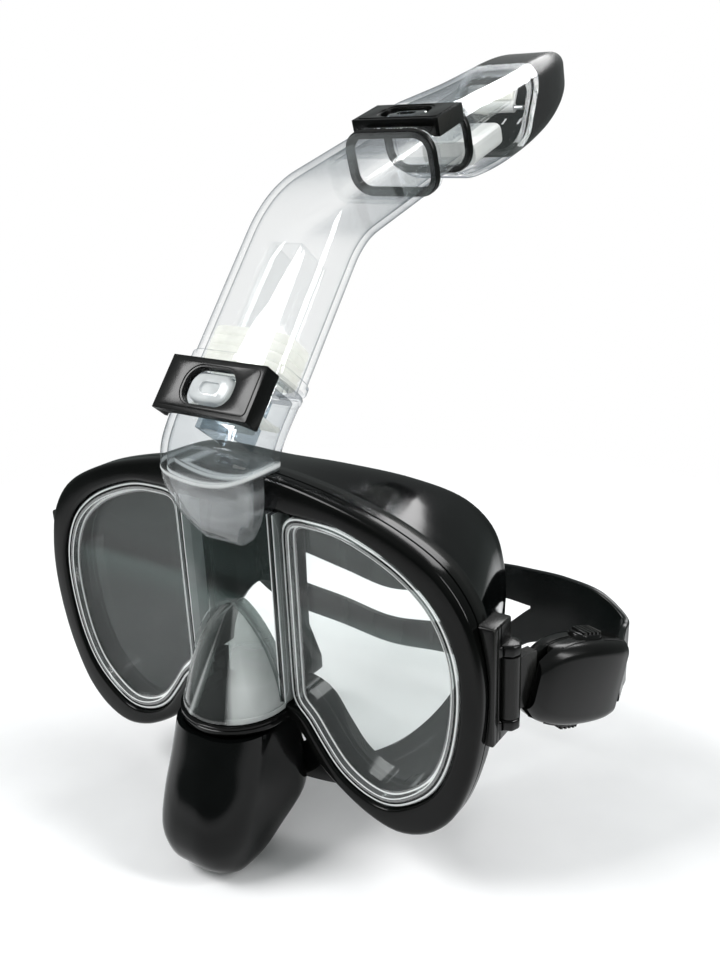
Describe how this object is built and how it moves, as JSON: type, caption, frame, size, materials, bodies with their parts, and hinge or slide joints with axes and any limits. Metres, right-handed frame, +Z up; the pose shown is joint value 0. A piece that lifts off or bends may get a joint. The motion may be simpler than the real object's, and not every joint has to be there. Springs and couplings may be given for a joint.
{
  "type": "dry-top snorkel mask",
  "caption": "Half-face snorkel mask with nose pocket and clear lens, an over-forehead plug-in snorkel with dry-top float valve, and a swivel-buckle head strap.",
  "frame": {"origin": "the middle of the flat inner face of the lens's centre pane", "axes": "+Z up, +Y towards the wearer's face and the back of the head, +X towards the wearer's left; the mask is symmetric about X = 0"},
  "size_m": [0.214, 0.2439, 0.2446],
  "materials": {
    "lens": "clear, polished",
    "clear_plastic": "clear, moulded gloss",
    "smoke_plastic": "smoke grey, translucent gloss",
    "black_plastic": "black, semi-gloss",
    "black_silicone": "black, glossy silicone",
    "strap_silicone": "black, satin silicone",
    "milky_silicone": "milky, translucent satin",
    "white_plastic": "white, matte",
    "steel": "drawn wire"
  },
  "bodies": {
    "mask": {"lens": "lens", "nose_window": "lens", "front_frame": "black_plastic", "retaining_frame": "black_plastic", "skirt": "black_silicone", "air_guide": "black_silicone", "port_gasket": "black_silicone", "strap": "strap_silicone", "connector_housing": "clear_plastic", "channel_divider": "clear_plastic", "ribbed_seal": "milky_silicone", "lower_clip": "black_plastic", "strap_lug_left": "black_plastic", "strap_lug_right": "black_plastic", "hinge_pin_left": "steel", "hinge_pin_right": "steel"},
    "inhale_flap": {"inhale_flap": "milky_silicone"},
    "exhale_flap_left": {"exhale_flap_left": "milky_silicone"},
    "exhale_flap_right": {"exhale_flap_right": "milky_silicone"},
    "lower_button": {"lower_button": "clear_plastic"},
    "snorkel_tube": {"mid_tube": "clear_plastic", "tube_divider": "clear_plastic", "tube_gasket": "black_silicone"},
    "top_section": {"float_chamber": "clear_plastic", "neck_gasket": "black_silicone", "upper_clip": "black_plastic", "top_cap": "smoke_plastic", "flap_pin": "steel"},
    "upper_button": {"upper_button": "clear_plastic"},
    "float_block": {"float": "white_plastic"},
    "valve_flap": {"valve_flap": "white_plastic", "valve_pad": "milky_silicone"},
    "buckle_left": {"buckle_body_left": "black_plastic", "buckle_cover_left": "black_plastic", "strap_end_left": "strap_silicone"},
    "release_top_left": {"release_top_left": "black_plastic"},
    "release_bottom_left": {"release_bottom_left": "black_plastic"},
    "roller_left": {"strap_roller_left": "black_plastic"},
    "buckle_right": {"buckle_body_right": "black_plastic", "buckle_cover_right": "black_plastic", "strap_end_right": "strap_silicone"},
    "release_top_right": {"release_top_right": "black_plastic"},
    "release_bottom_right": {"release_bottom_right": "black_plastic"},
    "roller_right": {"strap_roller_right": "black_plastic"}
  },
  "joints": [
    {"name": "snorkel_detach", "type": "slide", "parent": "mask", "child": "snorkel_tube", "axis": [0, 0.6428, 0.766], "range_m": [0, 0.025]},
    {"name": "top_detach", "type": "slide", "parent": "snorkel_tube", "child": "top_section", "axis": [0, 0.9573, 0.289], "range_m": [0, 0.025]},
    {"name": "lower_button_press", "type": "slide", "parent": "mask", "child": "lower_button", "axis": [0, 0.766, -0.6428], "range_m": [0, 0.0018], "stiffness_N_per_m": 900},
    {"name": "upper_button_press", "type": "slide", "parent": "top_section", "child": "upper_button", "axis": [0, 0.289, -0.9573], "range_m": [0, 0.0012], "stiffness_N_per_m": 900},
    {"name": "inhale_flap_hinge", "type": "hinge", "parent": "mask", "child": "inhale_flap", "pos_m": [0, 0.00825, 0.04339], "axis": [1, 0, 0], "range_deg": [0, 40]},
    {"name": "exhale_flap_left_hinge", "type": "hinge", "parent": "mask", "child": "exhale_flap_left", "pos_m": [0.0096, 0.00954, 0.04492], "axis": [-1, 0, 0], "range_deg": [0, 40]},
    {"name": "exhale_flap_right_hinge", "type": "hinge", "parent": "mask", "child": "exhale_flap_right", "pos_m": [-0.0096, 0.00954, 0.04492], "axis": [-1, 0, 0], "range_deg": [0, 40]},
    {"name": "float_slide", "type": "slide", "parent": "top_section", "child": "float_block", "axis": [0, 0.9573, 0.289], "range_m": [0, 0.008]},
    {"name": "valve_flap_hinge", "type": "hinge", "parent": "top_section", "child": "valve_flap", "pos_m": [0, 0.16412, 0.13183], "axis": [1, 0, 0], "range_deg": [0, 45]},
    {"name": "buckle_swivel_left", "type": "hinge", "parent": "mask", "child": "buckle_left", "pos_m": [0.087, 0.01, -0.016], "axis": [0, 0, -1], "range_deg": [-20, 50]},
    {"name": "release_top_left_press", "type": "slide", "parent": "buckle_left", "child": "release_top_left", "axis": [-0.1, -0.2747, -0.9563], "range_m": [0, 0.0015], "stiffness_N_per_m": 900},
    {"name": "release_bottom_left_press", "type": "slide", "parent": "buckle_left", "child": "release_bottom_left", "axis": [0.1, 0.2747, 0.9563], "range_m": [0, 0.0015], "stiffness_N_per_m": 900},
    {"name": "roller_left_turn", "type": "hinge", "parent": "buckle_left", "child": "roller_left", "pos_m": [0.09664, 0.04058, -0.02579], "axis": [0.1, 0.2747, 0.9563], "continuous": true},
    {"name": "buckle_swivel_right", "type": "hinge", "parent": "mask", "child": "buckle_right", "pos_m": [-0.087, 0.01, -0.016], "axis": [0, 0, 1], "range_deg": [-20, 50]},
    {"name": "release_top_right_press", "type": "slide", "parent": "buckle_right", "child": "release_top_right", "axis": [0.1, -0.2747, -0.9563], "range_m": [0, 0.0015], "stiffness_N_per_m": 900},
    {"name": "release_bottom_right_press", "type": "slide", "parent": "buckle_right", "child": "release_bottom_right", "axis": [-0.1, 0.2747, 0.9563], "range_m": [0, 0.0015], "stiffness_N_per_m": 900},
    {"name": "roller_right_turn", "type": "hinge", "parent": "buckle_right", "child": "roller_right", "pos_m": [-0.09664, 0.04058, -0.02579], "axis": [-0.1, 0.2747, 0.9563], "continuous": true}
  ],
  "couplings": [
    {"joint": "valve_flap_hinge", "follows": "float_slide", "rad_per_m": 87.2},
    {"joint": "release_bottom_left_press", "follows": "release_top_left_press", "ratio": 1},
    {"joint": "release_bottom_right_press", "follows": "release_top_right_press", "ratio": 1}
  ]
}
